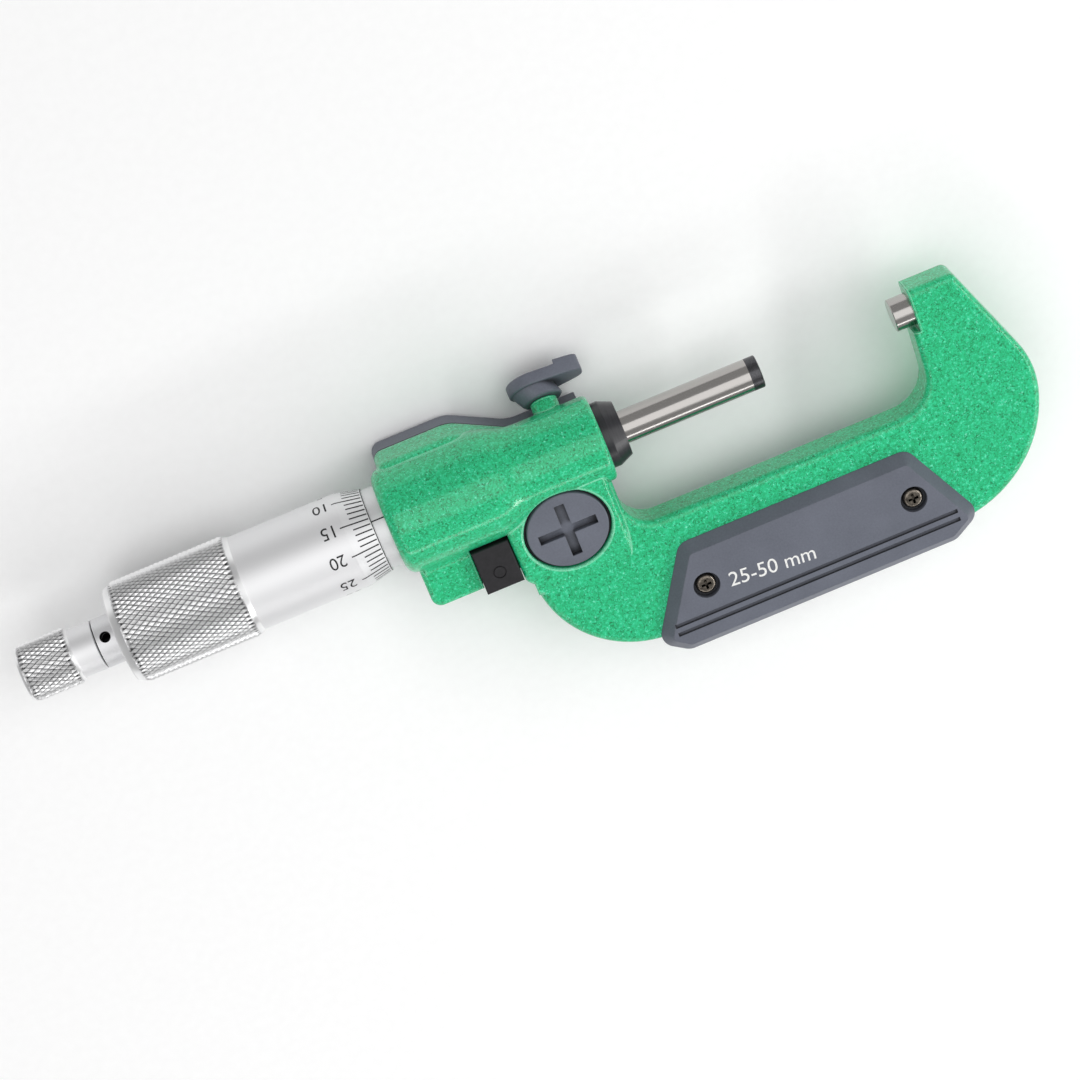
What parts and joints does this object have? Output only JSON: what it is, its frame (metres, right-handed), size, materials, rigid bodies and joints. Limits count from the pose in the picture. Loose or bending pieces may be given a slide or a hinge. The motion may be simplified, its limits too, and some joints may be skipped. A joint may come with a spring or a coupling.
{
  "type": "digital outside micrometer",
  "caption": "Digital outside micrometer with a green hammertone frame, knurled thimble, ratchet stop, lock lever, battery cover, data port and grey grip plates.",
  "frame": {"origin": "centre of the anvil's measuring face", "axes": "+X runs along the spindle from the thimble to the anvil, +Y towards the lock lever, +Z out of the back of the frame; the display faces -Z and the micrometer lies on it"},
  "size_m": [0.2008, 0.0624, 0.0248],
  "materials": {
    "hammertone_green": "green hammertone enamel",
    "satin_chrome": "satin chrome plate",
    "ground_steel": "ground steel",
    "carbide": "lapped carbide",
    "black_ring": "black, satin",
    "grey_plastic": "dark grey, fine grain",
    "black_rubber": "black rubber",
    "dark_screw": "dark nickel",
    "brass": "turned brass",
    "clear_window": "clear window",
    "display_glass": "grey-green display",
    "board_green": "green circuit board",
    "battery_steel": "nickel-plated steel",
    "button_grey": "light grey",
    "spring_steel": "spring wire"
  },
  "bodies": {
    "body": {"frame": "hammertone_green", "anvil": "ground_steel", "spindle_bush": "black_ring", "sleeve": "satin_chrome", "spindle_nut": "brass", "adjusting_nut": "ground_steel", "encoder_stator": "board_green", "lock_plug": "brass", "battery": "battery_steel", "battery_contact": "spring_steel", "data_connector": "black_ring", "bezel_gasket": "black_rubber", "display_bezel": "grey_plastic", "bezel_screws": "dark_screw", "display_lens": "clear_window", "circuit_board": "board_green", "display_panel": "display_glass", "contact_sheet": "black_rubber", "back_grip": "grey_plastic", "back_grip_screws": "dark_screw", "front_grip": "grey_plastic", "front_grip_screws": "dark_screw"},
    "encoder": {"encoder_rotor": "board_green", "rotor_bush": "brass", "rotor_key": "ground_steel"},
    "measuring_spindle": {"spindle": "ground_steel", "spindle_tip": "carbide", "thimble": "satin_chrome", "ratchet_collar": "satin_chrome", "ratchet_screw": "dark_screw"},
    "ratchet": {"ratchet_knob": "satin_chrome", "ratchet_pawl": "ground_steel", "ratchet_spring": "spring_steel"},
    "lever": {"lock_lever": "grey_plastic", "lock_screw": "dark_screw"},
    "seal": {"cover_seal": "black_rubber"},
    "battery_door": {"battery_cover": "grey_plastic"},
    "port_cover": {"data_port_cover": "black_rubber"},
    "power_key": {"power_button": "button_grey"},
    "zero_key": {"zero_button": "button_grey"},
    "unit_key": {"unit_button": "button_grey"}
  },
  "joints": [
    {"name": "thimble_turn", "type": "hinge", "parent": "body", "child": "encoder", "pos_m": [-0.088, 0, 0], "axis": [1, 0, 0], "range_deg": [-16447.1, 1553.1]},
    {"name": "spindle_feed", "type": "slide", "parent": "encoder", "child": "measuring_spindle", "axis": [1, 0, 0], "range_m": [-0.02284, 0.00216]},
    {"name": "ratchet_turn", "type": "hinge", "parent": "measuring_spindle", "child": "ratchet", "pos_m": [-0.17, 0, 0], "axis": [1, 0, 0], "continuous": true},
    {"name": "lock_turn", "type": "hinge", "parent": "body", "child": "lever", "pos_m": [-0.0674, 0, 0], "axis": [0, 0.788, -0.6157], "range_deg": [-60, 0]},
    {"name": "cover_lift", "type": "slide", "parent": "body", "child": "seal", "axis": [0, -0.1564, 0.9877], "range_m": [0, 0.003]},
    {"name": "cover_turn", "type": "hinge", "parent": "seal", "child": "battery_door", "pos_m": [-0.0724, -0.0129, 0.0057], "axis": [0, -0.1564, 0.9877], "range_deg": [0, 1440.1]},
    {"name": "port_cover_pull", "type": "slide", "parent": "body", "child": "port_cover", "axis": [0, 0, 1], "range_m": [0, 0.006]},
    {"name": "power_press", "type": "slide", "parent": "body", "child": "power_key", "axis": [0, 0, 1], "range_m": [0, 0.0004], "stiffness_N_per_m": 2000},
    {"name": "zero_press", "type": "slide", "parent": "body", "child": "zero_key", "axis": [0, 0, 1], "range_m": [0, 0.0004], "stiffness_N_per_m": 2000},
    {"name": "unit_press", "type": "slide", "parent": "body", "child": "unit_key", "axis": [0, 0, 1], "range_m": [0, 0.0004], "stiffness_N_per_m": 2000}
  ],
  "couplings": [
    {"joint": "thimble_turn", "follows": "spindle_feed", "rad_per_m": 12566},
    {"joint": "cover_turn", "follows": "cover_lift", "rad_per_m": 8377.6}
  ]
}
